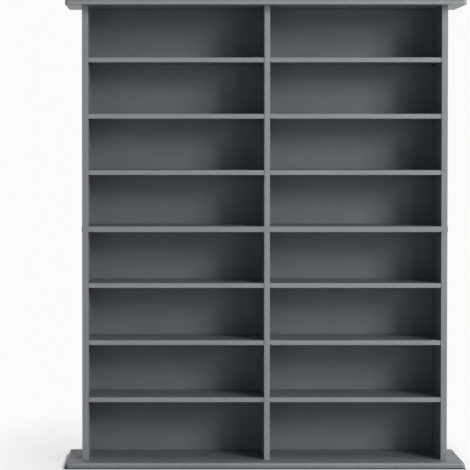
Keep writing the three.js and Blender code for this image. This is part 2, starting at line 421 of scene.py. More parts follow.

# %% [markdown]
# ## Painted light on the front edges
# The front edges are painted lighter than the faces: painted light, standing for the light that they
# catch and the shaded insides miss. The surface's direction finds them: whatever faces the room is a
# front edge, and the painted light fades out round the mouldings.

# %% Front painted light group
front_light_values = {"Colour": (0.2, 0.22, 0.24, 1), "Gain": 0.3}
front_painted_light, front_light_in, front_light_out = group("front_painted_light", front_light_values, ["Colour"])
forward = ranged(front_painted_light, axes_of(front_painted_light, facing(front_painted_light))["Y"], -0.55, -0.95)
gained = figure(front_painted_light, "MULTIPLY_ADD", forward, front_light_in["Gain"], 1.0)
feed(front_light_out["Colour"], tinted(front_painted_light, front_light_in["Colour"], gained))
print("front coat:", len(front_painted_light.nodes), "nodes")

# %% [markdown]
# ## Settled dust
# A clean cabinet still has a trace of dust on what faces up. The surface's upward share makes the
# mask, and two sizes of noise thin it out. It lightens the paint a little and takes its sheen. The
# upward share is put out as well, because the same faces get a painted shade.

# %% Settled dust group
settled_dust, dust_in, dust_out = group("settled_dust", {"Amount": 0.1}, ["Mask", "Lying"])
lying = ranged(settled_dust, axes_of(settled_dust, facing(settled_dust, "Normal"))["Z"], 0.6, 1.0)
dust_place = place_on_piece(settled_dust)
specks = noise(settled_dust, dust_place, Scale=260.0, Detail=4.0, Roughness=0.75)
drifts = noise(settled_dust, dust_place, Scale=9.0, Detail=2.0)
thinned = figure(settled_dust, "MULTIPLY", specks, drifts)
on_top = figure(settled_dust, "MULTIPLY", thinned, lying)
feed(dust_out["Mask"], figure(settled_dust, "MULTIPLY", on_top, dust_in["Amount"]))
feed(dust_out["Lying"], lying)
print("settled dust:", len(settled_dust.nodes), "nodes")

# %% [markdown]
# ## Painted shadow at the floor line
# The lowest edge of a cabinet, where it turns under, is painted dark as a contact shadow. The mask is
# full at the floor and gone at a set height, and noise thins it in places.

# %% Floor contact shadow group
floor_contact_shade, contact_shade_in, contact_shade_out = group("floor_contact_shade", {"Amount": 0.8, "Height": 0.0026}, ["Mask"])
contact_shade_place = place_on_piece(floor_contact_shade)
lowest = figure(floor_contact_shade, "DIVIDE", axes_of(floor_contact_shade, contact_shade_place)["Z"], contact_shade_in["Height"])
rising = ranged(floor_contact_shade, lowest, 1.1, 0.7, interpolation_type="SMOOTHSTEP")
streaks = noise(floor_contact_shade, contact_shade_place, Scale=30.0, Detail=4.0)
thinner = ranged(floor_contact_shade, streaks, 0.0, 1.0, 0.7, 1.0)
streaked = figure(floor_contact_shade, "MULTIPLY", rising, thinner)
feed(contact_shade_out["Mask"], figure(floor_contact_shade, "MULTIPLY", streaked, contact_shade_in["Amount"]))
print("floor grime:", len(floor_contact_shade.nodes), "nodes")

# %% [markdown]
# ## A material and its groups
# Each finish is a material with one Principled shader, and the groups feed its colour and roughness.
# The relief of a paint skin is far too fine for real faces, so a Bump node stands in for it.

# %% Material tools
def new_material(name, specular):
    made = bpy.data.materials.new(name)
    made.use_nodes = True
    shader = made.node_tree.nodes["Principled BSDF"].inputs
    shader["Specular IOR Level"].default_value = specular
    return made, made.node_tree, shader


def place_group(tree, source, **values):
    """Places a group in a material and returns what it puts out."""
    made = tree.nodes.new("ShaderNodeGroup")
    made.node_tree = source
    for name, value in values.items():
        feed(made.inputs[name.replace("_", " ")], value)
    return made.outputs


def bumped(tree, shader, height, distance, strength):
    bump = node(tree, "ShaderNodeBump", Strength=strength, Distance=distance, Height=height)
    feed(shader["Normal"], bump.outputs["Normal"])


print("material tools are ready")

# %% [markdown]
# ## The painted finishes
# Four paints come from the same groups. The boards' paint is the base. The top board is dusted over
# and matted by years of wiping, so that a low light doesn't flare on it. The side panels and the
# middle board have the same paint, a shade darker. The shelves' paint is a touch smoother, since
# shelves are sprayed lying flat. The upward faces get a painted shade, a tone deeper and bluer, and
# dust lies on top of that.

# %% Painted finishes
PAINT = (0.184, 0.195, 0.208)
SIDE_PAINT = tuple(0.91 * part for part in PAINT)
DUST_COLOUR = (0.5, 0.49, 0.47, 1)
# a painted contact shadow on the lowest edge of the base
CONTACT_SHADE_COLOUR = (0.02, 0.02, 0.02, 1)
# a painted shade on the upward faces, deeper and a little bluer
UPWARD_PAINTED_SHADE = (0.76, 0.775, 0.8, 1)
# painted light: how much lighter the front edges are made
FRONT_LIGHT_GAIN = 0.45
# lighter arrises: partly wear, partly a painted highlight
WEAR_HIGHLIGHT_AMOUNT = 0.4
WEAR_HIGHLIGHT_GAIN = 1.6
CONTACT_SHADE_AMOUNT = 0.95
CONTACT_SHADE_HEIGHT = 0.0018


def painted(name, colour, roughness, specular, patch_scale, dust, matting):
    """One paint: the film, painted light on its front edges, worn and highlighted arrises, painted shade on
    the upward faces, dust and a painted contact shadow at the floor line.
    """
    made, tree, shader = new_material(name, specular)
    film = place_group(tree, paint_film, Colour=(*colour, 1), Roughness=roughness, Patch_Scale=patch_scale)
    # painted light on whatever faces the room
    painted_light = place_group(tree, front_painted_light, Colour=film["Colour"], Gain=FRONT_LIGHT_GAIN)
    wear_and_highlight = place_group(tree, arris_wear_and_highlight, Amount=WEAR_HIGHLIGHT_AMOUNT)
    dusted = place_group(tree, settled_dust, Amount=dust)
    contact_shade = place_group(tree, floor_contact_shade, Amount=CONTACT_SHADE_AMOUNT, Height=CONTACT_SHADE_HEIGHT)
    worn_and_lit_colour = tuple(WEAR_HIGHLIGHT_GAIN * part for part in colour) + (1,)
    # the arrises are made lighter: wear and a painted highlight
    worn_and_highlighted = mixed(tree, wear_and_highlight["Mask"], painted_light["Colour"], worn_and_lit_colour)
    # painted shade: the upward faces are multiplied darker and bluer
    upward_shaded = mixed(tree, dusted["Lying"], worn_and_highlighted, UPWARD_PAINTED_SHADE, blend_type="MULTIPLY")
    covered = mixed(tree, dusted["Mask"], upward_shaded, DUST_COLOUR)
    # last, the painted contact shadow at the floor line
    feed(shader["Base Color"], mixed(tree, contact_shade["Mask"], covered, CONTACT_SHADE_COLOUR))
    matted = figure(tree, "MULTIPLY_ADD", dusted["Lying"], matting, dusted["Mask"])
    feed(shader["Roughness"], figure(tree, "ADD", film["Roughness"], matted, use_clamp=True))
    bumped(tree, shader, film["Height"], 0.00008, 0.6)
    return made


board_paint = painted("slate_board_paint", PAINT, 0.42, 0.46, 5.0, 0.1, 0.06)
top_paint = painted("slate_top_paint", PAINT, 0.42, 0.46, 5.0, 0.3, 0.36)
side_paint = painted("slate_side_paint", SIDE_PAINT, 0.42, 0.45, 5.0, 0.1, 0.02)
shelf_paint = painted("slate_shelf_paint", PAINT, 0.36, 0.45, 7.0, 0.1, 0.02)
print("paint colour", PAINT)

# %% [markdown]
# ## Inside the board
# A hole drilled in a painted board shows what it is made of: pressed wood fibre, tan and furry. A
# fine noise gives the fibre. A Mapping node squeezes it in height, because the fibres of a flat board
# are pressed level, and for the beech of the dowels it draws the noise out along the grain. The drills
# carry the fibre, and the cut passes it on to the walls of each hole.

# %% Pressed fibre
def fibre(name, colours, stretch, scale):
    made, tree, shader = new_material(name, 0.2)
    mapping = node(tree, "ShaderNodeMapping", Vector=place_on_piece(tree), Scale=stretch)
    strands = noise(tree, mapping.outputs[0], Scale=scale, Detail=6.0, Roughness=0.7)
    feed(shader["Base Color"], ramp(tree, strands, (0.32, colours[0]), (0.68, colours[1])))
    feed(shader["Roughness"], ranged(tree, strands, 0.0, 1.0, 0.75, 0.95))
    bumped(tree, shader, strands, 0.0001, 0.5)
    return made


board_core = fibre("pressed_fibre_core", ((0.30, 0.20, 0.12), (0.47, 0.35, 0.23)), (1, 1, 3), 700.0)
dowel_wood = fibre("beech_dowel_wood", ((0.52, 0.33, 0.19), (0.68, 0.48, 0.30)), (1, 1, 0.06), 500.0)
print("fibre and dowel wood are ready")

# %% [markdown]
# ## The back film and the bare rear
# The backs are thin hardboard. Their inner face has the cabinet's grey as a film, flatter than the
# paint, and darker and a little bluer as a painted shade for the shadowed bays. The outer face is left
# as it comes from the press: brown, with the cross-hatched print of the wire screen it was pressed on.
# One material holds both, and the surface's direction chooses.

# %% Back panel finish
# painted shade: the film is the paint made darker and bluer, as in the shadowed bays
BACK_FILM_SHADE_SHARE = (0.77, 0.81, 0.84)
BARE_ROUGHNESS = 0.82
RIDGES = {"Scale": 90.0, "Distortion": 0.6, "Detail": 2.0}


def screen_print(tree, spot):
    """Two sets of fine ridges at right angles, from the wire screen of the press."""
    ridges = []
    for direction in ("X", "Z"):
        wave = node(tree, "ShaderNodeTexWave", spot, bands_direction=direction, **RIDGES)
        ridges.append(wave.outputs["Fac"])
    return figure(tree, "MULTIPLY", *ridges)


back_panel_finish, back_tree, back_shader = new_material("back_film_and_hardboard", 0.3)
shaded_film_colour = tuple(share * part for share, part in zip(BACK_FILM_SHADE_SHARE, PAINT)) + (1,)
film = place_group(back_tree, paint_film, Colour=shaded_film_colour, Roughness=0.55, Patch_Scale=4.0, Drift=0.05)
back_place = place_on_piece(back_tree)
brown_noise = noise(back_tree, back_place, Scale=60.0, Detail=8.0, Roughness=0.7)
brown = ramp(back_tree, brown_noise, (0.3, (0.19, 0.118, 0.07)), (0.72, (0.35, 0.235, 0.145)))
is_rear = figure(back_tree, "GREATER_THAN", axes_of(back_tree, facing(back_tree))["Y"], 0.5)
feed(back_shader["Base Color"], mixed(back_tree, is_rear, film["Colour"], brown))
duller = mixed(back_tree, is_rear, film["Roughness"], BARE_ROUGHNESS, data_type="FLOAT")
feed(back_shader["Roughness"], duller)
screen = screen_print(back_tree, back_place)
skin = mixed(back_tree, is_rear, film["Height"], screen, data_type="FLOAT")
bumped(back_tree, back_shader, skin, 0.00008, 0.6)
print("back finish:", len(back_tree.nodes), "nodes")

# %% [markdown]
# ## Steel
# The shelf pins are cut from drawn bar and turned at the ends, so their fine lines run round them.
# A dark oxide keeps them quiet under the shelves. The nails are plain bright wire. Both are the
# same steel with its own colour and roughness, and a metal takes its look from what it reflects.

# %% Steel finishes
def steel(name, colour, roughness, line_scale):
    made, tree, shader = new_material(name, 0.5)
    shader["Metallic"].default_value = 1.0
    mapping = node(tree, "ShaderNodeMapping", Vector=place_on_piece(tree), Scale=(line_scale, 60, 60))
    lines = noise(tree, mapping.outputs[0], Scale=1.0, Detail=5.0, Roughness=0.6)
    darker = tuple(0.8 * part for part in colour)
    feed(shader["Base Color"], ramp(tree, lines, (0.0, darker), (1.0, colour)))
    feed(shader["Roughness"], ranged(tree, lines, 0.0, 1.0, roughness - 0.08, roughness + 0.1))
    bumped(tree, shader, lines, 0.00002, 0.4)
    return made


pin_steel = steel("oxide_pin_steel", (0.07, 0.075, 0.085), 0.4, 2600)
nail_steel = steel("bright_nail_steel", (0.5, 0.5, 0.51), 0.38, 400)
print("steel finishes are ready")

# %% [markdown]
# ## The moulded boards
# The top and base boards have the cabinet's finest work. Their front and ends carry a quarter
# round, a narrow square groove under it, a flat band, and an eased lower arris. The moulding turns
# round the front corners without a break, as a router would run it. Here the board grows upwards
# from its underside: each level is inset by the step of the moulding, and the rim between band and
# round is pushed in for the groove.

# %% Moulding tools
GROOVE_STEP = 0.0006
GROOVE_DEPTH = 0.0018
GROOVE_HEIGHT = 0.00125


def choose_top(piece):
    """Selects the highest face that lies flat, and returns its height."""
    top = max(vertex.co.z for vertex in piece.data.vertices)
    choose(piece, "FACE", lambda face: face.normal.z > FACING and near(face.calc_center_median().z, top))
    return top


def grow(piece, inset, rise):
    """Insets the top face and lifts it."""
    choose_top(piece)
    bpy.ops.mesh.inset(thickness=inset, depth=rise, use_boundary=True, use_even_offset=True)
    bpy.ops.object.mode_set(mode="OBJECT")


def groove(piece):
    """Steps in from the band, rises by the groove's height, and pushes that new rim in."""
    top = choose_top(piece)
    bpy.ops.mesh.inset(thickness=GROOVE_STEP, depth=0, use_boundary=True, use_even_offset=True)
    bpy.ops.mesh.extrude_region_move(TRANSFORM_OT_translate={"value": (0, 0, GROOVE_HEIGHT)})
    bpy.ops.object.mode_set(mode="OBJECT")

    def new_rim(face):
        return abs(face.normal.z) < SIDEWAYS and near(face.calc_center_median().z, top + GROOVE_HEIGHT / 2)

    choose(piece, "FACE", new_rim)
    inward = {"value": -GROOVE_DEPTH, "use_even_offset": True}
    bpy.ops.mesh.extrude_region_shrink_fatten(TRANSFORM_OT_shrink_fatten=inward)
    bpy.ops.object.mode_set(mode="OBJECT")


print("a moulding can be grown")

# %% [markdown]
# ## From blank to moulded board
# The front corners are rounded first, because the moulding follows them. The quarter round is then
# grown in small steps. The blank is longer at the rear and is ripped square at the end, because the
# rear has no moulding.

# %% Moulded boards
MOULDING_RUN = 0.0065
MOULDING_STEPS = 8
TOP_DROP = 0.004125
BASE_DROP = 0.00825
LOWER_ARRIS = 0.0024
PLAN_RADIUS = 0.009
REAR_SPARE = 0.03


def moulded_board(name, low, high, drop):
    band_top = low.z + board - drop - GROOVE_HEIGHT
    piece = block(name, low, (high.x, high.y + REAR_SPARE, band_top))

    def front_corner(edge):
        return ends_at(edge, Y_AXIS, low.y) and not level_along(edge, Z_AXIS)

    round_edges(piece, front_corner, PLAN_RADIUS, 12)
    round_edges(piece, lambda edge: ends_at(edge, Z_AXIS, low.z), LOWER_ARRIS, 5)
    groove(piece)
    run = 0.0
    risen = 0.0
    for step in range(1, MOULDING_STEPS + 1):
        angle = step / MOULDING_STEPS * math.pi / 2
        next_run = MOULDING_RUN * (1 - math.cos(angle))
        next_risen = drop * math.sin(angle)
        grow(piece, next_run - run, next_risen - risen)
        run = next_run
        risen = next_risen
    split(piece, (0, high.y, 0), (0, 1, 0), use_fill=True, clear_outer=True)
    return piece


moulded_top = moulded_board("moulded_top_board", top_low, top_high, TOP_DROP)
moulded_base = moulded_board("moulded_base_board", base_low, base_high, BASE_DROP)
for piece in (moulded_top, moulded_base):
    size = [round(v * 1000, 2) for v in piece.dimensions]
    print(piece.name, size, "mm,", len(piece.data.polygons), "faces")

# %% [markdown]
# ## Rebate and dowel holes
# The backs drop into a rebate along the rear, and dowels lock the uprights to the three flat
# boards. Both are cuts, so they are made with cutters: one long block for the rebate, and one drill
# that is copied to every hole.

# %% Cutters and drills
REBATE_HALF = 0.5
OVERRUN = 0.002


def cutter_block(low, high):
    cutter = block("cutter", low, high)
    cutter.data.materials.append(board_core)
    return cutter


def rebate_cutter(low_z, high_z, low_x=-REBATE_HALF, high_x=REBATE_HALF):
    """A long block behind the line that the backs are let in to."""
    return cutter_block((low_x, rebate_face, low_z), (high_x, rear + OVERRUN, high_z))


def rod(centre, radius, length, axis, sides=24):
    deselect_all()
    turn = {"x": (0, math.pi / 2, 0), "y": (math.pi / 2, 0, 0), "z": (0, 0, 0)}[axis]
    cylinder = {"vertices": sides, "radius": radius, "depth": length}
    bpy.ops.mesh.primitive_cylinder_add(location=centre, rotation=turn, **cylinder)
    return name_piece("rod")


def drill(centre, radius, length, axis):
    """A rod that leaves bare fibre in the hole it cuts."""
    made = rod(centre, radius, length, axis)
    made.data.materials.append(board_core)
    return made


def at_each(cutter, places):
    """Copies a cutter to every place and throws the first one away."""
    copies = [copy_to(cutter, "cutter", place) for place in places]
    bpy.data.objects.remove(cutter)
    return copies


print("cutters and drills are ready")

# %% [markdown]
# ## Cutting the moulded boards
# Each upright has two dowels at an end, so a flat board gets six holes in a face. A board has its
# paint before it is cut, so only the cut faces show the fibre.

# %% Cut the moulded boards
REBATE_WIDTH = 0.0095
DOWEL_RADIUS = 0.004
DOWEL_HOLE = 0.006
DOWEL_INSET = 0.030
HOLE_FIT = 0.0002

side_middle = (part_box("upper_right_side")[0].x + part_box("upper_right_side")[1].x) / 2
dowel_columns = (-side_middle, divider_line, side_middle)
dowel_depths = (carcass_front + DOWEL_INSET, back_low.y - DOWEL_INSET)


def dowel_drills(face):
    """One drill for each dowel hole in a flat board, half in and half out of the face."""
    first = drill((0, 0, face), DOWEL_RADIUS + HOLE_FIT, 2 * DOWEL_HOLE, "z")
    return at_each(first, [(x, y, 0) for x in dowel_columns for y in dowel_depths])


moulded_top.data.materials.append(top_paint)
moulded_base.data.materials.append(board_paint)
cut_away(moulded_top, [rebate_cutter(top_low.z - OVERRUN, top_low.z + REBATE_WIDTH)])
cut_away(moulded_top, dowel_drills(top_low.z))
cut_away(moulded_base, [rebate_cutter(base_high.z - REBATE_WIDTH, base_high.z + OVERRUN)])
cut_away(moulded_base, dowel_drills(base_high.z))
for piece, paint, part in ((moulded_top, top_paint, "top_board"), (moulded_base, board_paint, "base_board")):
    smooth_rounds(piece)
    fit(piece, paint, stands_for=part)
print("moulded boards cut:", len(moulded_top.data.polygons), "and", len(moulded_base.data.polygons), "faces")

# %% [markdown]
# ## The middle board
# It runs through between the two halves and stands a millimetre proud of the panels at the front
# and the ends. Its front arrises are eased like those of the panels, and its rear is notched for
# the backs.

# %% Middle board
ARRIS = 0.0012
SHARP_EDGE = 0.0003


def ease_front(piece, front, axis):
    """Rounds the two long front edges of a board whose length runs along the axis."""

    def long_front(edge):
        return ends_at(edge, Y_AXIS, front) and not level_along(edge, axis)

    round_edges(piece, long_front, ARRIS, 4)


def end_edge(edge):
    return ends_at(edge, X_AXIS, middle_low.x) or ends_at(edge, X_AXIS, middle_high.x)


middle = block("middle_board_through", middle_low, middle_high)
ease_front(middle, middle_low.y, X_AXIS)
round_edges(middle, end_edge, SHARP_EDGE, 2)
middle.data.materials.append(side_paint)
cut_away(middle, [rebate_cutter(middle_low.z - OVERRUN, middle_high.z + OVERRUN)])
cut_away(middle, dowel_drills(middle_high.z))
cut_away(middle, dowel_drills(middle_low.z))
smooth_rounds(middle)
fit(middle, side_paint, stands_for="middle_board")
print("middle board:", len(middle.data.polygons), "faces")

# %% [markdown]
# ## The bored uprights
# Side panels and dividers carry rows of holes for the shelf pins: blind in the sides, right through
# in the dividers. For each shelf there are three holes at each depth, so that it can go one place
# up or down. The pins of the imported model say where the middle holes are.

# %% Pin holes
ROWS = (1, 2, 3)
DEPTHS = ("front", "rear")
HOLES_PER_PITCH = 5


def centre_of(part):
    low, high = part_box(part)
    return (low + high) / 2


def pin_holes(half):
    """Depth and height of every pin hole in one upright of a half."""
    rows = [centre_of(f"{half}_divider_pin_{row}_front").z for row in ROWS]
    pitch = (rows[0] - rows[1]) / HOLES_PER_PITCH
    depths = [centre_of(f"{half}_divider_pin_1_{depth}").y for depth in DEPTHS]
    return [(y, z + place * pitch) for z in rows for place in (-1, 0, 1) for y in depths]


def bore_pins(piece, half, low_x, high_x):
    pin_low, pin_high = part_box(f"{half}_divider_pin_1_front")
    radius = (pin_high.z - pin_low.z) / 2 + HOLE_FIT
    first = drill(((low_x + high_x) / 2, 0, 0), radius, high_x - low_x, "x")
    cut_away(piece, at_each(first, [(0, y, z) for y, z in pin_holes(half)]))


print("pin holes in each upright:", len(pin_holes("upper")))

# %% [markdown]
# ## Ends and rims
# The ends of an upright are bored for its dowels. A drill leaves a sharp rim, so each pin hole gets
# a touch of the countersink: the ring of short edges round it is bevelled once.

# %% Ends and rims
DOWEL_REACH = 0.0055
RIM_REACH = 0.0029
FACET_LENGTH = 0.001


def bore_ends(piece, half, x):
    first = drill((x, 0, 0), DOWEL_RADIUS, 2 * DOWEL_REACH, "z")
    ends = (floors[half], ceilings[half])
    cut_away(piece, at_each(first, [(0, y, z) for z in ends for y in dowel_depths]))


def break_rims(piece, half, faces_x):
    """Takes the sharp rim off every pin hole, as a countersink touch does."""
    holes = pin_holes(half)

    def on_rim(edge):
        if not any(ends_at(edge, X_AXIS, x) for x in faces_x):
            return False
        middle = (edge.verts[0].co + edge.verts[1].co) / 2
        near_hole = any(math.hypot(middle.y - y, middle.z - z) < RIM_REACH for y, z in holes)
        return edge.calc_length() < FACET_LENGTH and near_hole

    round_edges(piece, on_rim, SHARP_EDGE, 1)


print("ends can be bored and rims broken")

# %% [markdown]
# ## Sides and dividers
# Both start as a block between two flat boards. A side is rebated behind and bored from its inner
# face only, and a divider has no rebate and is bored right through.

# %% Uprights
HALVES = ("upper", "lower")
FLANKS = ("left", "right")


def upright_block(name, half, low, high):
    """A block between two flat boards, with its front arrises eased."""
    corner = (low.x, carcass_front, floors[half] + GAP)
    panel = block(name, corner, (high.x, high.y, ceilings[half] - GAP))
    ease_front(panel, carcass_front, Z_AXIS)
    return panel


def side_panel(half, flank):
    low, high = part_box(f"{half}_{flank}_side")
    outward = 1 if flank == "right" else -1
    panel = upright_block(f"bored_{half}_{flank}_side", half, low, high)
    panel.data.materials.append(side_paint)
    inner = low.x if outward > 0 else high.x
    rebate_x = sorted((inner - outward * OVERRUN, outward * REBATE_HALF))
    cut_away(panel, [rebate_cutter(low.z - OVERRUN, high.z + OVERRUN, *rebate_x)])
    pin_low, pin_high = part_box(f"{half}_{flank}_pin_1_front")
    blind = pin_high.x + HOLE_FIT if outward > 0 else pin_low.x - HOLE_FIT
    reach_x = sorted((inner - outward * OVERRUN, blind))
    bore_pins(panel, half, reach_x[0], reach_x[1])
    bore_ends(panel, half, (low.x + high.x) / 2)
    break_rims(panel, half, [inner])
    smooth_rounds(panel)
    fit(panel, side_paint, stands_for=f"{half}_{flank}_side")
    return panel


def divider_panel(half):
    low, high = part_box(f"{half}_divider")
    panel = upright_block(f"bored_{half}_divider", half, low, high)
    panel.data.materials.append(board_paint)
    bore_pins(panel, half, low.x - OVERRUN, high.x + OVERRUN)
    bore_ends(panel, half, divider_line)
    break_rims(panel, half, [low.x, high.x])
    smooth_rounds(panel)
    fit(panel, board_paint, stands_for=f"{half}_divider")
    return panel


for half in HALVES:
    for panel in [side_panel(half, flank) for flank in FLANKS] + [divider_panel(half)]:
        print(panel.name, len(panel.data.polygons), "faces")

# %% [markdown]
# ## Dowels
# Each upright is held by two glued beech dowels at each end. A dowel has chamfered ends and fine
# flutes, which let the glue rise. They are hidden once the cabinet stands, but they are there when
# it is taken apart. One dowel is made, and its copies are joined upright by upright.

# %% Dowels
DOWEL_STRIPS = 24
DOWEL_CHAMFER = 0.0008
FLUTE_MARGIN = 0.0002
FLUTE_DEPTH = 0.0003


def flute(piece):
    """Sinks every other strip of the round side."""
    def strip(face):
        middle = face.calc_center_median()
        angle = math.degrees(math.atan2(middle.y, middle.x))
        return abs(face.normal.z) < SIDEWAYS and round(angle / (360 / DOWEL_STRIPS)) % 2 == 0

    choose(piece, "FACE", strip)
    bpy.ops.mesh.inset(thickness=FLUTE_MARGIN, depth=-FLUTE_DEPTH, use_individual=True)
    bpy.ops.object.mode_set(mode="OBJECT")


def joined(pieces, name):
    """Joins the pieces into the first one and names it."""
    deselect_all()
    for piece in pieces:
        piece.select_set(True)
    bpy.context.view_layer.objects.active = pieces[0]
    bpy.ops.object.join()
    pieces[0].name = name
    pieces[0].data.name = name
    return pieces[0]


one_dowel = rod((0, 0, 0), DOWEL_RADIUS - GAP, 2 * DOWEL_REACH, "z", sides=DOWEL_STRIPS)
round_edges(one_dowel, lambda edge: level_along(edge, Z_AXIS), DOWEL_CHAMFER, 1)
flute(one_dowel)
shade(one_dowel, 20)
for half in HALVES:
    for column, x in zip(("left_side", "divider", "right_side"), dowel_columns):
        places = [(x, y, z) for y in dowel_depths for z in (floors[half], ceilings[half])]
        copies = [copy_to(one_dowel, "dowel", spot) for spot in places]
        fit(joined(copies, f"dowels_{half}_{column}"), dowel_wood)
bpy.data.objects.remove(one_dowel)
print("24 dowels in 6 sets")

# %% [markdown]
# ## Loose shelves
# Each shelf lies loose on its four pins and can be drawn out. The left bay is a little wider than
# the right one, so there are two lengths, and one shelf of each length is made: a block with two
# eased front arrises, and a slight softness on its other edges. It is then copied to the other
# places in its column, and each copy rides on its own body.

# %% Shelves
LONG_EDGE = 0.05


def loose_shelf(part):
    low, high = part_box(part)
    shelf = block(f"loose_{part}", low, high)
    ease_front(shelf, low.y, X_AXIS)

    def other_edge(edge):
        across = level_along(edge, X_AXIS) and edge.calc_length() > LONG_EDGE
        return across or ends_at(edge, Y_AXIS, high.y)

    round_edges(shelf, other_edge, SHARP_EDGE, 2)
    smooth_rounds(shelf)
    return shelf


for flank in FLANKS:
    first_part = f"upper_{flank}_shelf_1"
    first_shelf = loose_shelf(first_part)
    for half in HALVES:
        for row in ROWS:
            part = f"{half}_{flank}_shelf_{row}"
            shelf = first_shelf
            if part != first_part:
                shelf = copy_to(first_shelf, f"loose_{part}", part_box(part)[0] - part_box(first_part)[0])
            fit(shelf, shelf_paint, body=part, stands_for=part)
    print(flank, "shelves", [round(v * 1000, 2) for v in first_shelf.dimensions], "mm")

# %% [markdown]
# ## Shelf pins
# A pin is a short bar of dark steel with a chamfer at each end and a shallow turned ring. The side
# pins sit in blind holes. The divider's pins are longer, run right through, and carry a shelf on
# each side. Each kind is made once and copied.

# %% One pin
PIN_CHAMFER = 0.0006
RING_HALF = 0.0003
RING_MARGIN = 0.0001
RING_DEPTH = 0.0002


def shelf_pin(part, rings):
    low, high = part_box(part)
    radius = (high.z - low.z) / 2
    middle_point = (low + high) / 2
    pin = rod(middle_point, radius, high.x - low.x, "x", sides=32)
    pin.name = f"steel_{part}"
    round_edges(pin, lambda edge: level_along(edge, X_AXIS), PIN_CHAMFER, 3)
    for ring in rings:
        for place_x in (ring - RING_HALF, ring + RING_HALF):
            split(pin, (place_x, 0, 0), (1, 0, 0))

        def on_ring(face):
            return abs(face.calc_center_median().x - ring) < RING_HALF and abs(face.normal.x) < SIDEWAYS

        choose(pin, "FACE", on_ring)
        bpy.ops.mesh.inset(thickness=RING_MARGIN, depth=-RING_DEPTH)
        bpy.ops.object.mode_set(mode="OBJECT")
    shade(pin, 35)
    return pin, low


print("a pin can be turned")

# %% [markdown]
# ## A pin at every place
# The ring sits just clear of the panel's face, where it shows. A divider's pin has two rings, one on
# each side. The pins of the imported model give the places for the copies.

# %% Pins
RING_CLEAR = 0.0012


def pins_everywhere(column, rings):
    first_part = f"upper_{column}_pin_1_front"
    first_pin, first_corner = shelf_pin(first_part, rings)
    for half in HALVES:
        for row in ROWS:
            for depth in DEPTHS:
                part = f"{half}_{column}_pin_{row}_{depth}"
                pin = first_pin
                if part != first_part:
                    pin = copy_to(first_pin, f"steel_{part}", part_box(part)[0] - first_corner)
                fit(pin, pin_steel, stands_for=part)
    return len(first_pin.data.polygons)


inner_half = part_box("upper_right_side")[0].x
rings_on = {
    "left": [-inner_half + RING_CLEAR],
    "right": [inner_half - RING_CLEAR],
    "divider": [divider_low.x - RING_CLEAR, divider_high.x + RING_CLEAR],
}
for column, rings in rings_on.items():
    print(column, "pins", pins_everywhere(column, rings), "faces each")

# %% [markdown]
# ## Nailed backs
# The two backs lap the rebates and meet behind the middle board. Small wire nails hold them round
# the edges and along the divider, evenly spaced and clear of the corners.

# %% Nail places
NAIL_SPACING = 0.105
NAIL_LAP = 0.0048
MEETING_LAP = 0.0035
MEETING_REACH = 0.01
UPRIGHT_ENDS_FREE = 0.030
CORNERS_FREE = 0.060
DIVIDER_FREE = 0.02


def evenly(low, high, spacing):
    count = max(1, round((high - low) / spacing))
    return [low + (high - low) * index / count for index in range(count + 1)]


def nail_places(low, high, board_line):
    """Places along both side rebates, along the divider, and along the two boards."""
    spots = []
    for x in (low.x + NAIL_LAP, divider_line, high.x - NAIL_LAP):
        heights = evenly(low.z + UPRIGHT_ENDS_FREE, high.z - UPRIGHT_ENDS_FREE, NAIL_SPACING)
        spots += [(x, z) for z in heights]
    for z, inward in ((low.z, 1), (high.z, -1)):
        line = z + inward * NAIL_LAP
        if abs(z - board_line) < MEETING_REACH:
            line = board_line + inward * MEETING_LAP
        for x in evenly(low.x + CORNERS_FREE, high.x - CORNERS_FREE, NAIL_SPACING):
            if abs(x - divider_line) > DIVIDER_FREE:
                spots.append((x, line))
    return spots


meeting = (middle_low.z + middle_high.z) / 2
print("the backs meet", round(meeting * 1000, 1), "mm above the floor")

# %% [markdown]
# ## Driving the nails
# A nail is driven until its head sits just below the surface, so each head lies in a shallow dimple.
# The dimples are cut from the panel, and the heads are copies of one nail.

# %% Backs and nails
NAIL_HEAD = 0.0021
NAIL_HEAD_THICK = 0.0006
NAIL_CROWN_INSET = 0.0009
NAIL_CROWN_RISE = 0.0002
DIMPLE_MARGIN = 0.0004
DIMPLE_THROUGH = 0.0016


def nail_head():
    head = rod((0, rear - NAIL_HEAD_THICK, 0), NAIL_HEAD, NAIL_HEAD_THICK, "y", sides=12)
    choose(head, "FACE", lambda face: face.normal.y > FACING)
    bpy.ops.mesh.inset(thickness=NAIL_CROWN_INSET, depth=NAIL_CROWN_RISE)
    bpy.ops.object.mode_set(mode="OBJECT")
    shade(head, 30)
    return head


head = nail_head()
for half in HALVES:
    low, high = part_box(f"{half}_back")
    back = block(f"nailed_{half}_back", low, high)
    back.data.materials.append(back_panel_finish)
    spots = nail_places(low, high, meeting)
    dimple = rod((0, rear, 0), NAIL_HEAD + DIMPLE_MARGIN, DIMPLE_THROUGH, "y", sides=12)
    dimple.data.materials.append(back_panel_finish)
    cut_away(back, at_each(dimple, [(x, 0, z) for x, z in spots]))
    shade(back, 30)
    fit(back, back_panel_finish, stands_for=f"{half}_back")
    heads = [copy_to(head, "nail", (x, 0, z)) for x, z in spots]
    fit(joined(heads, f"nails_{half}_back"), nail_steel)
    print(half, "back:", len(spots), "nails")
bpy.data.objects.remove(head)

# %% [markdown]
# ## The floor
# The cabinet stands on a pale floor, with a thin painted contact shadow against its base. What a spot
# shows depends on how far it lies from the base, so that distance comes first. It is counted faster
# at the ends than in front, and fastest at the right end, which the light reaches first.

# %% Floor tone and painted contact shadow
LIT_END = (0.45, 0.555)
END_HASTE = (2.5, 20.0)


def on_vectors(tree, operation, *feeds):
    return node(tree, "ShaderNodeVectorMath", *feeds, operation=operation).outputs


def grey_ramp(tree, source, *stops):
    return ramp(tree, source, *[(along, (share, share, share)) for along, share in stops])


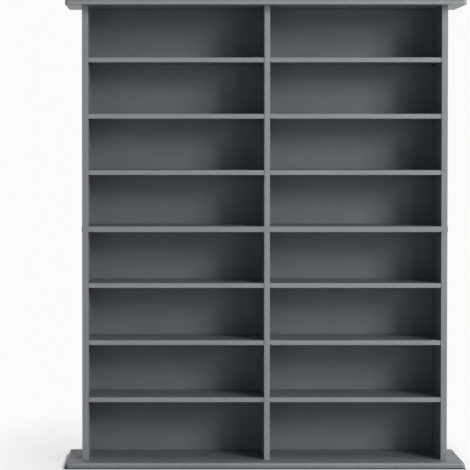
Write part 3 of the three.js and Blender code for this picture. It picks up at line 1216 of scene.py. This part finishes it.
deselect_all()
bpy.ops.mesh.primitive_plane_add(size=60, location=(0, 0, 0))
floor = name_piece("studio_floor")
floor_material, floor_tree, floor_shader = new_material("pale_floor", 0.1)
floor_shader["Roughness"].default_value = 0.9
floor_place = place_on_piece(floor_tree)
floor_noise = noise(floor_tree, floor_place, Scale=3.0, Detail=3.0)
floor_tone = ramp(floor_tree, floor_noise, (0.0, (0.66, 0.66, 0.654)), (1.0, (0.72, 0.72, 0.714)))
either_side = on_vectors(floor_tree, "ABSOLUTE", floor_place)[0]
past_base = on_vectors(floor_tree, "SUBTRACT", either_side, (base_high.x, base_high.y, 0))[0]
beyond = on_vectors(floor_tree, "MAXIMUM", past_base)[0]
end_haste = ranged(floor_tree, axes_of(floor_tree, floor_place)["X"], *LIT_END, *END_HASTE)
haste = node(floor_tree, "ShaderNodeCombineXYZ", X=end_haste, Y=1.0).outputs[0]
sooner = on_vectors(floor_tree, "MULTIPLY", beyond, haste)[0]
distance = on_vectors(floor_tree, "LENGTH", sooner)["Value"]
# a painted contact shadow: the floor is dark within a few millimetres of the base
contact_shadow_line = grey_ramp(floor_tree, distance, (0.0, 0.1), (1.0, 1.0), (0.005, 0.12), (0.014, 1.0))
floor_tone_shadowed = mixed(floor_tree, 1.0, floor_tone, contact_shadow_line, blend_type="MULTIPLY")
feed(floor_shader["Base Color"], floor_tone_shadowed)
print("floor:", len(floor_tree.nodes), "nodes so far")

# %% [markdown]
# ## Running out into white
# As in a catalogue picture, the floor ends in plain white. It shows its true tone close round the
# base, keeps a soft share of its shadow further out, and then fades. The white is for the camera and
# for reflections only, so that it adds no light to the cabinet. The world does the same, and adds a
# weak bluish light of its own, which fills the shadows.

# %% White floor and world
AMBIENT = (0.022, 0.028, 0.034, 1)
BACKDROP = (0.96, 0.96, 0.946, 1)


def seen_directly(tree):
    """A mask that is one for camera, glossy and transmission rays."""
    path = node(tree, "ShaderNodeLightPath").outputs
    either = figure(tree, "MAXIMUM", path["Is Camera Ray"], path["Is Glossy Ray"])
    return figure(tree, "MAXIMUM", either, path["Is Transmission Ray"])


fading = grey_ramp(floor_tree, distance, (0.0, 0.0), (1.0, 1.0), (0.004, 0.0), (0.03, 0.8), (0.8, 1.0))
fade_seen = figure(floor_tree, "MULTIPLY", fading, seen_directly(floor_tree))
plain = floor_tree.nodes["Principled BSDF"].outputs[0]
white = node(floor_tree, "ShaderNodeEmission", Color=(1, 1, 0.985, 1), Strength=0.96).outputs[0]
floor_mix = node(floor_tree, "ShaderNodeMixShader", fade_seen, plain, white)
feed(floor_tree.nodes["Material Output"].inputs["Surface"], floor_mix.outputs[0])
floor.data.materials.append(floor_material)

world = bpy.data.worlds.new("white_studio")
bpy.context.scene.world = world
world.use_nodes = True
world_tree = world.node_tree
room = mixed(world_tree, seen_directly(world_tree), AMBIENT, BACKDROP)
feed(world_tree.nodes["Background"].inputs["Color"], room)
print("ambient level", AMBIENT)

# %% [markdown]
# ## Light
# The shadows in the bays tell where the light was. Their edges on the backs put it about forty
# degrees to the right and twenty degrees up, and they are soft over a hand's width, so the key is
# a soft box as tall as a person, a few metres off. High on the backs the shadows are narrower, so a
# second, lower box stands more to the front. A third one hangs high and almost square to the right
# end, and it lights what faces up more than what faces forward. A weak one at the left front is
# bluish, because the shadowed walls in the photograph are. The base is brightest beside the right
# panel, where no front light is stronger, so a fifth box stands behind on the right.

# %% Soft boxes
AIM = (0, 0, 0.65)
WHITE_LIGHT = (1, 1, 1)
BLUISH_LIGHT = (0.65, 0.83, 1)
SOFT_BOXES = (
    ("key_soft_box", (4.83, -5.0, 3.18), 2.4, 2.0, 328, WHITE_LIGHT),
    ("low_soft_box", (3.66, -6.35, 1.68), 2.4, 2.0, 62, WHITE_LIGHT),
    ("high_soft_box", (5.58, -0.98, 5.4), 2.4, 2.0, 198, WHITE_LIGHT),
    ("cool_soft_box", (-3.1, -6.67, 1.42), 2.4, 2.0, 24, BLUISH_LIGHT),
    ("rear_soft_box", (3.22, 2.7, 1.05), 2.2, 1.8, 72, WHITE_LIGHT),
)
for name, stand, width, height, power, colour in SOFT_BOXES:
    light = bpy.data.lights.new(name, "AREA")
    light.shape = "RECTANGLE"
    light.size = width
    light.size_y = height
    light.energy = power
    light.color = colour
    lamp = bpy.data.objects.new(name, light)
    lamp.location = stand
    lamp.rotation_euler = (Vector(AIM) - Vector(stand)).to_track_quat("-Z", "Y").to_euler()
    bpy.context.scene.collection.objects.link(lamp)
    print(name, "at", stand, "with", power, "watts")
